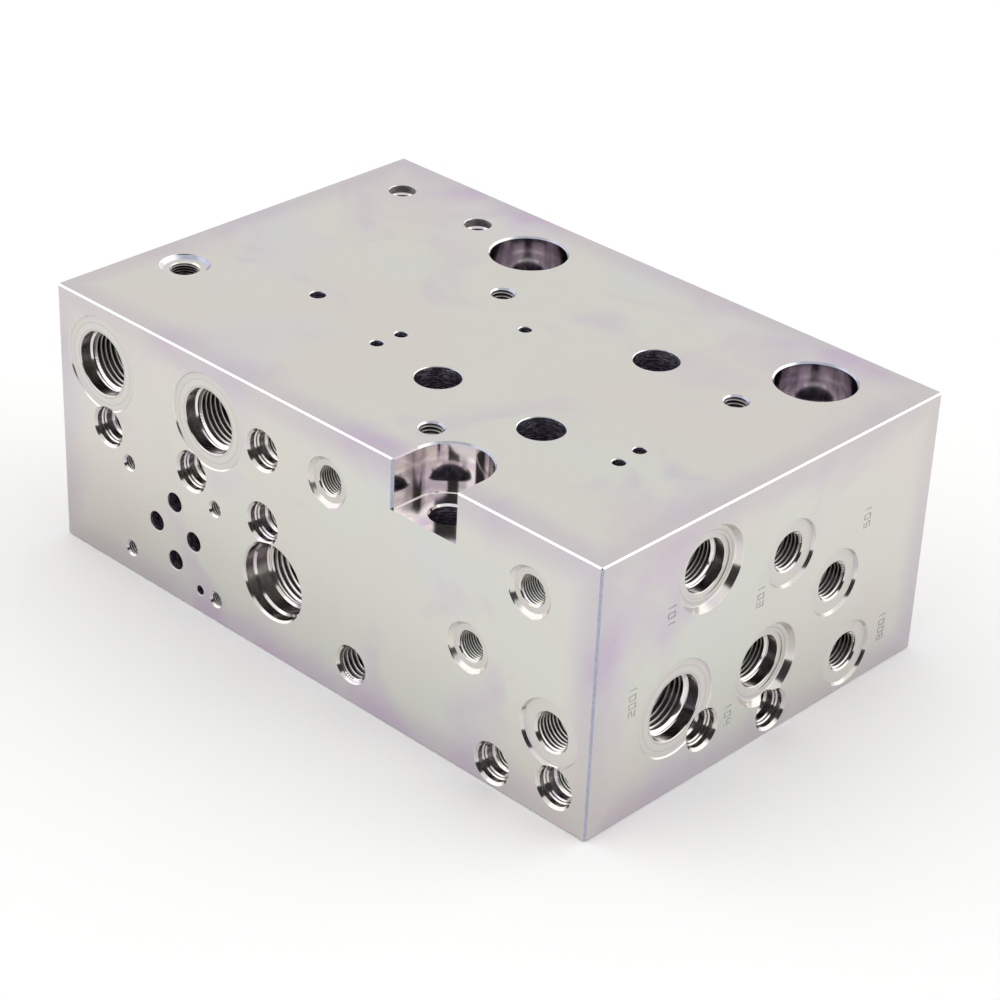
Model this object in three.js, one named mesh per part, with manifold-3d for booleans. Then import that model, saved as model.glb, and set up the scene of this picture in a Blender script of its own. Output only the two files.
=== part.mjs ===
// A drilled hydraulic manifold block in millimetres, +Z up, resting on Z = 0, centred on the Z axis.
// +X runs along the long front face, +Y runs from the front face into the block.
import * as THREE from "three";
import { mergeVertices } from "three/addons/utils/BufferGeometryUtils.js";
import Module from "manifold-3d";

const wasm = await Module();
wasm.setup();

// Driving dimensions
const LENGTH = 230; // along X
const WIDTH = 150; // along Y
const HEIGHT = 90; // along Z
const EDGE_CHAMFER = 0.6;
const TOOL_REACH = 1.5; // how far each drill sticks out of the face that it enters
const DRILL_TIP = Math.tan(THREE.MathUtils.degToRad(31)); // tip depth per radius of a 118° drill
const FIT_GAP = 0.3; // left between a pressed or screwed piece and its bore

// Sides of the polygons that stand for circles
const SIDES_LARGE = 20;
const SIDES_MEDIUM = 16;
const SIDES_SMALL = 12;
const SIDES_TINY = 8;

function sidesFor(radius) {
  if (radius > 12) return SIDES_LARGE;
  if (radius > 9) return SIDES_MEDIUM;
  return radius > 3.3 ? SIDES_SMALL : SIDES_TINY;
}

// Faces of the block: each gives the point on the face for two distances from its edges, and the way in.
const FACES = {
  front: {
    // from the left edge, below the top edge
    point: (across, down) => new THREE.Vector3(across - LENGTH / 2, -WIDTH / 2, HEIGHT - down),
    inward: new THREE.Vector3(0, 1, 0),
  },
  right: {
    // from the front edge, below the top edge
    point: (across, down) => new THREE.Vector3(LENGTH / 2, across - WIDTH / 2, HEIGHT - down),
    inward: new THREE.Vector3(-1, 0, 0),
  },
  top: {
    // from the left edge, in front of the back edge
    point: (across, down) => new THREE.Vector3(across - LENGTH / 2, WIDTH / 2 - down, HEIGHT),
    inward: new THREE.Vector3(0, 0, -1),
  },
  left: {
    // from the front edge, below the top edge
    point: (across, down) => new THREE.Vector3(-LENGTH / 2, across - WIDTH / 2, HEIGHT - down),
    inward: new THREE.Vector3(1, 0, 0),
  },
  back: {
    // from the left edge as seen from the front, below the top edge
    point: (across, down) => new THREE.Vector3(across - LENGTH / 2, WIDTH / 2, HEIGHT - down),
    inward: new THREE.Vector3(0, -1, 0),
  },
  bottom: {
    // from the left edge, in front of the back edge
    point: (across, down) => new THREE.Vector3(across - LENGTH / 2, WIDTH / 2 - down, 0),
    inward: new THREE.Vector3(0, 0, 1),
  },
};

function solidOf(geometry) {
  const bare = geometry.clone();
  bare.deleteAttribute("normal");
  bare.deleteAttribute("uv");
  const merged = mergeVertices(bare, 1e-4);
  return new wasm.Manifold(
    new wasm.Mesh({
      numProp: 3,
      vertProperties: new Float32Array(merged.attributes.position.array),
      triVerts: new Uint32Array(merged.index.array),
    }),
  );
}

function geometryOf(solid) {
  const mesh = solid.getMesh();
  const geometry = new THREE.BufferGeometry();
  geometry.setAttribute("position", new THREE.BufferAttribute(mesh.vertProperties, 3));
  geometry.setIndex(new THREE.BufferAttribute(mesh.triVerts, 1));
  geometry.computeVertexNormals();
  return geometry;
}

// A turned shape about +Y from [radius, height] points that run upwards, closed on the axis.
function turned(points, sides) {
  const outline = points.map(([radius, height]) => new THREE.Vector2(radius, height));
  return new THREE.LatheGeometry(outline, sides);
}

// Lays a shape made along +Y, with the block's surface at height 0, into a face at a point.
function placeOnFace(geometry, face, across, down) {
  const { point, inward } = FACES[face];
  const turn = new THREE.Quaternion().setFromUnitVectors(new THREE.Vector3(0, -1, 0), inward);
  geometry.applyQuaternion(turn);
  const at = point(across, down);
  geometry.translate(at.x, at.y, at.z);
  return geometry;
}

// A stepped drilling from [radius, depth] points, widest first, that ends in a drill tip.
function drilling(steps) {
  const [firstRadius] = steps[0];
  const [lastRadius, lastDepth] = steps[steps.length - 1];
  const points = [[0, -lastDepth - lastRadius * DRILL_TIP]];
  for (const [radius, depth] of [...steps].reverse()) points.push([radius, -depth]);
  points.push([firstRadius, TOOL_REACH], [0, TOOL_REACH]);
  return turned(points, sidesFor(firstRadius));
}

// Steps of the ports. Each ends at its thread's bottom, and the core drilling follows.
function withCore(steps, threadRadius, coreRadius, coreDepth) {
  const threadDepth = steps[steps.length - 1][1];
  const shoulder = (threadRadius - coreRadius) * DRILL_TIP;
  return [...steps, [coreRadius, threadDepth + shoulder], [coreRadius, coreDepth]];
}

function threadedPort({ spot, spotDepth, mouth, mouthDepth, minor, threadDepth }) {
  return (coreDiameter, coreDepth) =>
    withCore(
      [
        [spot / 2, 0],
        [spot / 2, spotDepth],
        [mouth / 2, spotDepth],
        [mouth / 2, mouthDepth],
        [minor / 2, mouthDepth + (mouth - minor) / 2],
        [minor / 2, threadDepth],
      ],
      minor / 2,
      coreDiameter / 2,
      coreDepth,
    );
}

const PORT_G12 = threadedPort({
  spot: 31.2, spotDepth: 0.4, mouth: 21, mouthDepth: 4.3, minor: 18.6, threadDepth: 18,
});
const PORT_G14 = threadedPort({
  spot: 21.9, spotDepth: 1, mouth: 13.1, mouthDepth: 1.1, minor: 11.5, threadDepth: 13,
});
const PORT_G18 = threadedPort({
  spot: 16.3, spotDepth: 1.2, mouth: 9.9, mouthDepth: 1.3, minor: 8.6, threadDepth: 10,
});

// The G3/8 port has a second, shallow ring inside its deep spot face.
function portG38(coreDiameter, coreDepth) {
  const steps = [
    [13.7, 0], [12.3, 2.2], [10.1, 2.2], [10.1, 2.6], [8.4, 2.6], [8.4, 6.1], [7.5, 7], [7.5, 18],
  ];
  return withCore(steps, 7.5, coreDiameter / 2, coreDepth);
}

// The recess for a screwed construction plug: a wide mouth that narrows twice before its thread.
function plugRecess(coreDepth) {
  const steps = [[7, 0], [6.2, 0.95], [6.2, 2.5], [5.4, 3.8], [5.4, 6], [4.45, 6.4], [4.45, 12.5]];
  return withCore(steps, 4.45, 3.4, coreDepth);
}

// Profile of the screw-in cartridge cavity.
const CAVITY_STEPS = [
  [13.25, 0], [12.6, 0.65], [12.6, 3.4], [12.05, 4.7], [12.05, 8.8], [10.9, 9.9], [10.9, 26],
  [9.5, 27.4], [9.5, 40],
];

// A tapped hole with a chamfered mouth.
function tappedHole(mouth, minor, depth) {
  return [[mouth / 2, 0], [minor / 2, (mouth - minor) / 2], [minor / 2, depth]];
}

function plainHole(diameter, depth) {
  return [[diameter / 2, 0], [diameter / 2, depth]];
}

// Front face: [steps, from the left edge, below the top edge]
const PAD_F1 = { across: 32.8, down: 50.3 }; // first screw of the ISO 4401-03 pad
const PAD_SCREWS = [[0, 0], [40.5, -0.75], [40.5, 31.75], [0, 31]];
const PAD_T = [21.5, 5.1];
const PAD_A = [12.7, 15.5];
const PAD_B = [30.2, 15.5];
const PAD_P = [21.5, 25.9];
const PAD_PIN = [33, 31.75];
const PAD_OIL_DIAMETER = 6.5;

function padHole([right, below], steps) {
  return [steps, PAD_F1.across + right, PAD_F1.down + below];
}

const FRONT_DRILLINGS = [
  [PORT_G12(14, 50), 20.5, 20.4],
  [PORT_G12(14, 50), 70.6, 20.4],
  [PORT_G18(6.8, 38), 123.2, 19.05],
  [PORT_G18(6.8, 48), 204.3, 19.1],
  [PORT_G18(6.8, 106), 181.85, 47.9],
  [PORT_G14(8, 27), 214.2, 60.95],
  [plugRecess(43), 95.05, 20.2],
  [plugRecess(57), 22.85, 41.5],
  [plugRecess(47), 62.6, 40.95],
  [plugRecess(58), 95.05, 45],
  [plugRecess(81), 193, 82],
  [plugRecess(50), 217.2, 77.8],
  [CAVITY_STEPS, 99.4, 63.9],
  [tappedHole(12.9, 10.2, 24), 134.05, 76.8],
  ...PAD_SCREWS.map((offset) => padHole(offset, tappedHole(6, 4.2, 13))),
  padHole(PAD_T, plainHole(PAD_OIL_DIAMETER, 27)),
  padHole(PAD_A, plainHole(PAD_OIL_DIAMETER, 57)),
  padHole(PAD_B, plainHole(PAD_OIL_DIAMETER, 47)),
  padHole(PAD_P, plainHole(PAD_OIL_DIAMETER, 19)),
  padHole(PAD_PIN, plainHole(3.2, 6)),
];

// Right face: [steps, from the front edge, below the top edge]
const RIGHT_DRILLINGS = [
  [portG38(10, 68), 46.8, 19.3],
  [portG38(10, 98), 76.2, 64.1],
  [PORT_G14(9, 112), 83.1, 28.85],
  [PORT_G14(9, 68), 106.1, 48.2],
  [PORT_G14(8, 102), 115.8, 77.25],
  [PORT_G12(14, 62), 35.7, 61],
  [plugRecess(66), 48.8, 74.3],
  [plugRecess(50), 80.8, 82],
];

// Top face: [steps, from the left edge, in front of the back edge]
const OIL_DIAMETER = 14.3;
const GUIDE_BORE = [[4.5, 0], [4.5, 2.7], [3.9, 3.3], [3.9, 22]];
const TOP_DRILLINGS = [
  [plainHole(OIL_DIAMETER, 50), 159.25, 48.6],
  [plainHole(OIL_DIAMETER, 24), 123.55, 105.8],
  [plainHole(OIL_DIAMETER, 74), 165.7, 105.8],
  [tappedHole(8.2, 6.8, 18), 96.75, 50.55],
  [tappedHole(8.2, 6.8, 18), 192.35, 50.55],
  [tappedHole(8.2, 6.8, 18), 144.35, 128.9],
  [plainHole(4, 28), 118.75, 63.5],
  [plainHole(4, 45), 95.95, 94.25],
  [plainHole(4, 16), 95.35, 103.85],
  [plainHole(4, 12), 193.25, 94.25],
  [plainHole(4, 16), 193.95, 103.8],
  [plainHole(5, 12), 59.25, 94.65],
  [GUIDE_BORE, 19.6, 19.6],
  [GUIDE_BORE, 55.2, 19.7],
  [PORT_G18(6, 20), 15.9, 111.7],
];

// Counterbored holes for the three bolts that hold the block down. The third opens into the front face.
const BOLT_HOLE = { across: 81.55, down: 23.1 };
const BOLT_HOLE_SPACING = 118.6;
const NOTCH = { across: 162.7, down: 139.65 };
const COUNTERBORE_RADIUS = 12.5;
const COUNTERBORE_DEPTH = 16.5;
const COUNTERBORE_CHAMFER = 0.55;
const BOLT_RADIUS = 5.5;

const COUNTERBORE_STEPS = [
  [COUNTERBORE_RADIUS + COUNTERBORE_CHAMFER, 0],
  [COUNTERBORE_RADIUS, COUNTERBORE_CHAMFER],
  [COUNTERBORE_RADIUS, COUNTERBORE_DEPTH],
  [BOLT_RADIUS + 0.6, COUNTERBORE_DEPTH],
  [BOLT_RADIUS, COUNTERBORE_DEPTH + 0.6],
  [BOLT_RADIUS, HEIGHT + TOOL_REACH],
];
const BOLT_HOLES = [
  [BOLT_HOLE.across, BOLT_HOLE.down],
  [BOLT_HOLE.across + BOLT_HOLE_SPACING, BOLT_HOLE.down],
  [NOTCH.across, NOTCH.down],
];

// The notch carries the third counterbore's section on to the front face.
function notchSlot() {
  const wide = COUNTERBORE_RADIUS + COUNTERBORE_CHAMFER;
  const section = new THREE.Shape();
  section.moveTo(-COUNTERBORE_RADIUS, -COUNTERBORE_DEPTH);
  section.lineTo(COUNTERBORE_RADIUS, -COUNTERBORE_DEPTH);
  section.lineTo(COUNTERBORE_RADIUS, -COUNTERBORE_CHAMFER);
  section.lineTo(wide, 0);
  section.lineTo(wide, TOOL_REACH);
  section.lineTo(-wide, TOOL_REACH);
  section.lineTo(-wide, 0);
  section.lineTo(-COUNTERBORE_RADIUS, -COUNTERBORE_CHAMFER);
  const reach = WIDTH - NOTCH.down + TOOL_REACH;
  const slot = new THREE.ExtrudeGeometry(section, { depth: reach, bevelEnabled: false });
  slot.rotateX(Math.PI / 2);
  const at = FACES.top.point(NOTCH.across, NOTCH.down);
  slot.translate(at.x, at.y, at.z);
  return slot;
}

// Galleries drilled from the hidden faces. Each mouth is closed by an expander plug.
const PLUG_RECESS = 1; // how far the plug's rim lies below the face
const PLUG_FLOOR = 2; // thickness of the cup's floor
const SEAT_STEP = 0.8; // how much wider than its gallery a plug's seat is, on the radius
const GALLERIES = [
  { face: "left", across: 44.2, down: 20.4, radius: 5.5, depth: 119 },
  { face: "left", across: 27, down: 55.4, radius: 4.5, depth: 89 },
  { face: "left", across: 19, down: 76.2, radius: 4.5, depth: 92 },
  { face: "left", across: 55, down: 41.5, radius: 4, depth: 48 },
  { face: "back", across: 130, down: 72, radius: 4.5, depth: 72 },
  { face: "bottom", across: 62.8, down: 105, radius: 3.4, depth: 50 },
  { face: "bottom", across: 45.5, down: 95, radius: 3.4, depth: 50 },
  { face: "bottom", across: 181, down: 71.5, radius: 3.4, depth: 27 },
];

function plugLength(radius) {
  return 2 * radius + 1;
}

function gallerySteps({ radius, depth }) {
  const seat = radius + SEAT_STEP;
  const seatDepth = PLUG_RECESS + plugLength(radius) + FIT_GAP;
  return [[seat, 0], [seat, seatDepth], [radius, seatDepth + SEAT_STEP * DRILL_TIP], [radius, depth]];
}

// Back port, in line with the cartridge cavity
const BACK_DRILLINGS = [[PORT_G12(14, 67), 99.4, 63.9]];

function chamferedBlock() {
  const [x, y, c] = [LENGTH / 2, WIDTH / 2, EDGE_CHAMFER];
  const outline = new THREE.Shape([
    new THREE.Vector2(-x + c, -y), new THREE.Vector2(x - c, -y),
    new THREE.Vector2(x, -y + c), new THREE.Vector2(x, y - c),
    new THREE.Vector2(x - c, y), new THREE.Vector2(-x + c, y),
    new THREE.Vector2(-x, y - c), new THREE.Vector2(-x, -y + c),
  ]);
  const block = new THREE.ExtrudeGeometry(outline, {
    depth: HEIGHT - 2 * c, bevelThickness: c, bevelSize: c, bevelOffset: -c, bevelSegments: 1,
  });
  block.translate(0, 0, c);
  return block;
}

function manifoldBlock() {
  const placed = [];
  const drillFace = (face, list) => {
    for (const [steps, across, down] of list) {
      placed.push(placeOnFace(drilling(steps), face, across, down));
    }
  };
  drillFace("front", FRONT_DRILLINGS);
  drillFace("right", RIGHT_DRILLINGS);
  drillFace("top", TOP_DRILLINGS);
  drillFace("back", BACK_DRILLINGS);
  drillFace("top", BOLT_HOLES.map(([across, down]) => [COUNTERBORE_STEPS, across, down]));
  for (const gallery of GALLERIES) {
    const { face, across, down } = gallery;
    placed.push(placeOnFace(drilling(gallerySteps(gallery)), face, across, down));
  }
  placed.push(notchSlot());
  let block = solidOf(chamferedBlock());
  for (const cutter of placed) block = block.subtract(solidOf(cutter));
  return geometryOf(block);
}

// An expander plug: a cup pressed into the gallery's mouth, and the ball that spreads it.
function expanderSleeve(radius) {
  const outer = radius + SEAT_STEP - FIT_GAP;
  const wall = outer * 0.3;
  const length = plugLength(radius);
  const floorAt = PLUG_FLOOR - length;
  const bevel = 0.4;
  return turned(
    [
      [0, -length], [outer - bevel, -length], [outer, bevel - length], [outer, 0],
      [outer - wall + 0.5, 0], [outer - wall, -1.2], [outer - wall, floorAt], [0, floorAt],
    ],
    SIDES_SMALL,
  ).translate(0, -PLUG_RECESS, 0);
}

function expanderBall(radius) {
  const outer = radius + SEAT_STEP - FIT_GAP;
  const ballRadius = outer * 0.7 - FIT_GAP;
  const centre = PLUG_FLOOR - plugLength(radius) + FIT_GAP + ballRadius;
  const ball = new THREE.SphereGeometry(ballRadius, SIDES_TINY, SIDES_TINY);
  return ball.translate(0, centre - PLUG_RECESS, 0);
}

// A damping orifice: a short grub screw with a fine bore and a hexagon socket.
const ORIFICE = { radius: 3.1, length: 7, bore: 0.6, socket: 1.6, socketDepth: 3 };
const ORIFICES = [
  { across: 95.05, down: 20.2, depth: 30 },
  { across: 95.05, down: 45, depth: 30 },
  { across: 204.3, down: 19.1, depth: 24 },
];

function dampingOrifice() {
  const { radius, length, bore, socket, socketDepth } = ORIFICE;
  return turned(
    [
      [bore, -length], [radius, -length], [radius, 0], [socket, 0], [socket, -socketDepth],
      [bore, -socketDepth], [bore, -length],
    ],
    SIDES_SMALL,
  );
}

function metal(color, roughness) {
  return new THREE.MeshStandardMaterial({ color, roughness, metalness: 1 });
}

const PLATED_STEEL = metal(0xcfcdc6, 0.34);
const CASE_HARDENED_STEEL = metal(0x8d8f90, 0.4);
const BEARING_STEEL = metal(0xd9dbdd, 0.12);
const BLACKED_STEEL = metal(0x3c3d3f, 0.5);

const group = new THREE.Group();

function addPiece(name, geometry, material) {
  const mesh = new THREE.Mesh(geometry, material);
  mesh.name = name;
  group.add(mesh);
}

addPiece("manifold_block", manifoldBlock(), PLATED_STEEL);

GALLERIES.forEach(({ face, across, down, radius }, index) => {
  const sleeve = placeOnFace(expanderSleeve(radius), face, across, down);
  const ball = placeOnFace(expanderBall(radius), face, across, down);
  addPiece(`expander_sleeve_${index + 1}`, sleeve, CASE_HARDENED_STEEL);
  addPiece(`expander_ball_${index + 1}`, ball, BEARING_STEEL);
});

ORIFICES.forEach(({ across, down, depth }, index) => {
  const orifice = placeOnFace(dampingOrifice().translate(0, -depth, 0), "front", across, down);
  addPiece(`damping_orifice_${index + 1}`, orifice, BLACKED_STEEL);
});

export default group;
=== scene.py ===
"""A drilled hydraulic manifold block in plated steel, on a pale studio floor.

Sizes are in millimetres and are turned into metres where a mesh is made.
"""

import math

import bmesh
import bpy
import numpy as np
from mathutils import Matrix, Vector


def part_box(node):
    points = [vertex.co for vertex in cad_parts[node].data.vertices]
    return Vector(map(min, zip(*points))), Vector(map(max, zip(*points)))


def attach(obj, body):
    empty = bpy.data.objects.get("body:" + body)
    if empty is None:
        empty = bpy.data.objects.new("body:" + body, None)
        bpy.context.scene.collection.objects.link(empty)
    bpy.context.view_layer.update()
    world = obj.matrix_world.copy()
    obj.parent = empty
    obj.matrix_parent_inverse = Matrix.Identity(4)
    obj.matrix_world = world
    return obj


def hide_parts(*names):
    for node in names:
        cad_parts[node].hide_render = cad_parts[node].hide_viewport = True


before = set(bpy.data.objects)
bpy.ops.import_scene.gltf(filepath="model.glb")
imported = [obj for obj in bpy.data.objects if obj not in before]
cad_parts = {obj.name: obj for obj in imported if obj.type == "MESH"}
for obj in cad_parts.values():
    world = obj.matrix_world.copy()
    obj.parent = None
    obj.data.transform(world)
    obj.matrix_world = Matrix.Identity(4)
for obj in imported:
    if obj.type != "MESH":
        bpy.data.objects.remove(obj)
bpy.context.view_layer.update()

MM = 0.001
BLOCK_LOW, BLOCK_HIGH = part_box("manifold_block")
LENGTH, WIDTH, HEIGHT = [round(side / MM, 1) for side in BLOCK_HIGH - BLOCK_LOW]
EDGE_CHAMFER = 0.45  # along the top and bottom edges
UPRIGHT_CHAMFER = 0.65
TOOL_REACH = 1.5  # how far a cutter sticks out of the face that it enters
DRILL_TIP = math.tan(math.radians(31))  # tip depth per radius of a 118 degree drill
TIP_RADIUS = 0.02  # a tip ends in a tiny flat, so that no faces fold up there


# ---------------------------------------------------------------- camera

CAMERA_AT = Vector((535.471, -567.579, 482.481)) * MM
CAMERA_AZIMUTH = math.radians(42.4387)
CAMERA_ELEVATION = math.radians(31.0769)
CAMERA_ROLL = math.radians(2.7915)
FOCAL_LENGTH = 103.158
SENSOR_WIDTH = 36
CAMERA_SHIFT = (-0.01956, 0.05735)


def add_camera():
    data = bpy.data.cameras.new("camera")
    data.sensor_width = SENSOR_WIDTH
    data.lens = FOCAL_LENGTH
    data.shift_x, data.shift_y = CAMERA_SHIFT
    data.clip_start, data.clip_end = 0.01, 20
    level = math.cos(CAMERA_ELEVATION)
    forward = Vector(
        (
            -math.sin(CAMERA_AZIMUTH) * level,
            math.cos(CAMERA_AZIMUTH) * level,
            -math.sin(CAMERA_ELEVATION),
        )
    )
    flat_right = forward.cross(Vector((0, 0, 1))).normalized()
    flat_up = flat_right.cross(forward)
    right = flat_right * math.cos(CAMERA_ROLL) + flat_up * math.sin(CAMERA_ROLL)
    up = right.cross(forward)
    camera = bpy.data.objects.new("camera", data)
    turn = Matrix((right, up, -forward)).transposed().to_4x4()
    camera.matrix_world = Matrix.Translation(CAMERA_AT) @ turn
    bpy.context.scene.collection.objects.link(camera)
    bpy.context.scene.camera = camera


add_camera()


# ---------------------------------------------------------------- places on the block's faces


def face_point(face, across, down):
    """Distances from a face's edges, as in the CAD source, to a point in the frame."""
    x, y, z = LENGTH / 2, WIDTH / 2, HEIGHT
    places = {
        "front": (across - x, -y, z - down),
        "right": (x, across - y, z - down),
        "top": (across - x, y - down, z),
        "left": (-x, across - y, z - down),
        "back": (across - x, y, z - down),
        "bottom": (across - x, y - down, 0),
    }
    return Vector(places[face])


INWARD = {
    "front": Vector((0, 1, 0)),
    "right": Vector((-1, 0, 0)),
    "top": Vector((0, 0, -1)),
    "left": Vector((1, 0, 0)),
    "back": Vector((0, -1, 0)),
    "bottom": Vector((0, 0, 1)),
}


def placed_on(face, across, down):
    """The matrix that lays a shape made along +Z, its surface at 0, into a face at a point."""
    inward = INWARD[face]
    sideways = Vector((0, 1, 0)) if abs(inward.x) > 0.5 else Vector((1, 0, 0))
    columns = Matrix((sideways, inward.cross(sideways), inward)).transposed().to_4x4()
    return Matrix.Translation(face_point(face, across, down)) @ columns


# ---------------------------------------------------------------- cutters


class Solid:
    """A closed mesh in millimetres: vertices as an array, and faces as tuples of vertex numbers."""

    def __init__(self, vertices, faces):
        self.vertices = np.array(vertices, float)
        self.faces = faces

    def moved(self, matrix):
        turn = np.array(matrix.to_3x3())
        shift = np.array(matrix.translation)
        mirrored = np.linalg.det(turn) < 0
        faces = [tuple(reversed(face)) for face in self.faces] if mirrored else self.faces
        return Solid(self.vertices @ turn.T + shift, faces)

    def box(self):
        return self.vertices.min(0), self.vertices.max(0)


FEWEST_SIDES = 28


def sides_for(radius):
    if radius > 9:
        return 96
    if radius > 5:
        return 64
    return 48 if radius > 3 else FEWEST_SIDES


def ring(radius, height, sides):
    angles = np.arange(sides) * 2 * math.pi / sides
    return np.stack([radius * np.cos(angles), radius * np.sin(angles), np.full(sides, height)], 1)


def turned(points, sides):
    """A closed solid of revolution about Z from (radius, height) points. Rising ones face outwards."""
    vertices = np.concatenate([ring(radius, height, sides) for radius, height in points])
    faces = []
    for low in range(len(points) - 1):
        for i in range(sides):
            j = (i + 1) % sides
            a, b = low * sides + i, low * sides + j
            faces.append((a, b, b + sides, a + sides))
    last = (len(points) - 1) * sides
    faces.append(tuple(reversed(range(sides))))
    faces.append(tuple(range(last, last + sides)))
    return Solid(vertices, faces)


def drilling(steps, pointed=True):
    """A stepped drilling along +Z from (radius, depth) points, widest first."""
    sides = sides_for(max(radius for radius, _ in steps[:2]))
    points = [(steps[0][0], -TOOL_REACH), *steps]
    radius, depth = steps[-1]
    if pointed:
        points.append((TIP_RADIUS, depth + radius * DRILL_TIP))
    return turned(points, sides)


# One turn of a thread's groove: share of the pitch, and share of the thread's height.
GROOVE = [(0.10, 0.0), (0.155, 0.16), (0.45, 1.0), (0.56, 1.0), (0.885, 0.16), (0.94, 0.0)]
PAINTED_HIGHLIGHT_CREST_SHARE = 0.17  # share of the thread's height, at its crest, that is given a painted highlight
THREAD_SIDES_SHARE = 0.66
TURNS_BEFORE, TURNS_AFTER = 2, 3  # spare turns past a thread's ends, which fold up there


def thread_cutter(minor, major, pitch, start, end):
    """The screw-shaped hole of a right-hand thread along +Z, which fades out over its last turn."""
    sides = max(FEWEST_SIDES, int(sides_for(major / 2) * THREAD_SIDES_SHARE))
    per_turn = len(GROOVE)
    turns = TURNS_BEFORE + math.ceil((end - start) / pitch) + TURNS_AFTER
    rows = turns * per_turn
    number = np.arange(rows)
    phase = np.array([place for place, _ in GROOVE])[number % per_turn]
    ridge = np.array([rise for _, rise in GROOVE])[number % per_turn]
    turn_of = number // per_turn
    angles = np.arange(sides) * 2 * math.pi / sides
    turned_by = (turn_of + phase - TURNS_BEFORE)[None, :] + (angles / (2 * math.pi))[:, None]
    height = start + pitch * turned_by
    fade = np.clip((end - height) / pitch, 0, 1)
    radius = minor / 2 + (major - minor) / 2 * ridge[None, :] * fade
    outside = (height <= start) | (height >= end)
    radius = np.where(outside, minor / 2, radius)
    height = np.clip(height, start, end)
    vertices = np.stack(
        [radius * np.cos(angles)[:, None], radius * np.sin(angles)[:, None], height], 2
    ).reshape(-1, 3)
    faces = []
    for i in range(sides):
        wraps = i == sides - 1
        for k in range(rows - 1):
            here, above = i * rows + k, i * rows + k + 1
            beside_column = 0 if wraps else (i + 1) * rows
            lift = per_turn if wraps else 0
            beside = beside_column + min(k + lift, rows - 1)
            beside_above = beside_column + min(k + 1 + lift, rows - 1)
            faces.append((here, beside, beside_above, above))
    return welded(vertices, faces)


def solid_from(made):
    """The closed solid that a bmesh holds. It uses the bmesh up."""
    bmesh.ops.recalc_face_normals(made, faces=made.faces)
    made.verts.index_update()
    vertices = [vertex.co[:] for vertex in made.verts]
    faces = [tuple(vertex.index for vertex in face.verts) for face in made.faces]
    made.free()
    return Solid(vertices, faces)


def welded(vertices, faces):
    """Merges vertices that lie together, drops faces that fold up, and fills the two open ends."""
    made = bmesh.new()
    points = [made.verts.new(v) for v in vertices]
    for face in faces:
        corners = list(dict.fromkeys(face))
        if len(corners) > 2:
            made.faces.new([points[i] for i in corners])
    bmesh.ops.remove_doubles(made, verts=made.verts, dist=1e-4)
    bmesh.ops.dissolve_degenerate(made, edges=made.edges, dist=1e-5)
    bmesh.ops.holes_fill(made, edges=[e for e in made.edges if e.is_boundary], sides=0)
    bmesh.ops.triangulate(made, faces=made.faces)
    return solid_from(made)


# ---------------------------------------------------------------- the drillings
#
# Each kind of hole is a dict: steps is its turned mouth as (radius, depth) points, thread is
# (minor diameter, major diameter, pitch, start, end), and core is (radius, depth) of the drilling
# behind it. A further key gives a share of the thread's height, past which the grooves get a dark
# painted shade.


def threaded_port(steps, thread, core_diameter, core_depth):
    return {"steps": steps, "thread": thread, "core": (core_diameter / 2, core_depth)}


def port_g12(core_diameter, core_depth):
    steps = [
        (15.8, 0), (15.35, 0.4), (10.7, 0.4), (10.5, 0.6), (10.5, 4.2), (9.3, 5.4), (9.3, 6.2),
    ]
    return threaded_port(steps, (18.63, 20.9, 1.814, 3.3, 18), core_diameter, core_depth)


def port_g38(core_diameter, core_depth):
    steps = [
        (13.7, 0), (12.45, 2.12), (12.25, 2.2), (10.1, 2.2), (10.0, 2.6), (8.55, 2.6), (8.4, 2.75),
        (8.4, 6.1), (7.5, 7.0), (7.5, 7.5),
    ]
    return threaded_port(steps, (14.95, 16.62, 1.337, 5.6, 18), core_diameter, core_depth)


def port_g14(core_diameter, core_depth):
    steps = [(11.05, 0), (10.8, 0.45), (10.45, 1.0), (6.6, 1.0), (5.75, 1.85), (5.75, 2.4)]
    return threaded_port(steps, (11.45, 13.1, 1.337, 0.9, 13), core_diameter, core_depth)


def port_g18(core_diameter, core_depth):
    steps = [(8.15, 0), (8.0, 0.25), (6.85, 1.2), (4.95, 1.2), (4.3, 1.85), (4.3, 2.4)]
    port = threaded_port(steps, (8.57, 9.7, 0.907, 0.8, 10), core_diameter, core_depth)
    return {**port, "painted_shade_past": 0.9}


def plug_recess(core_depth):
    steps = [
        (7.02, 0), (6.2, 0.9), (6.2, 2.5), (5.82, 2.88), (5.8, 3.35), (5.42, 3.75), (5.4, 5.95),
        (4.6, 6.2), (4.45, 6.35), (4.45, 7.0),
    ]
    return threaded_port(steps, (8.94, 10.1, 1.0, 6.3, 12.5), 6.8, core_depth)


CAVITY = {
    "steps": [
        (13.25, 0), (12.6, 0.65), (12.6, 3.7), (12.05, 4.5), (12.05, 8.8), (11.35, 9.5), (11.35, 9.9),
        (10.9, 10.3), (10.9, 10.8),
    ],
    "thread": (21.8, 23.9, 2.0, 9.2, 25.5),
    "core": (9.5, 40),
}


def tapped_hole(mouth, minor, major, pitch, depth):
    chamfer = (mouth - minor) / 2
    steps = [(mouth / 2, 0), (minor / 2, chamfer), (minor / 2, chamfer + 0.6)]
    thread = (minor + 0.04, major, pitch, -0.5, depth - 2)
    return {"steps": steps, "thread": thread, "core": (minor / 2, depth), "painted_shade_past": PAINTED_HIGHLIGHT_CREST_SHARE}


DEBURR = 0.22  # the small chamfer round a plain hole's mouth


def plain_hole(diameter, depth):
    radius = diameter / 2
    return {"steps": [(radius + DEBURR, 0), (radius, DEBURR), (radius, depth)]}


M12 = tapped_hole(12.9, 10.2, 11.9, 1.75, 24)
M8 = tapped_hole(8.2, 6.75, 7.95, 1.25, 18)
M5 = tapped_hole(5.7, 4.3, 5.05, 0.8, 13)

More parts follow.
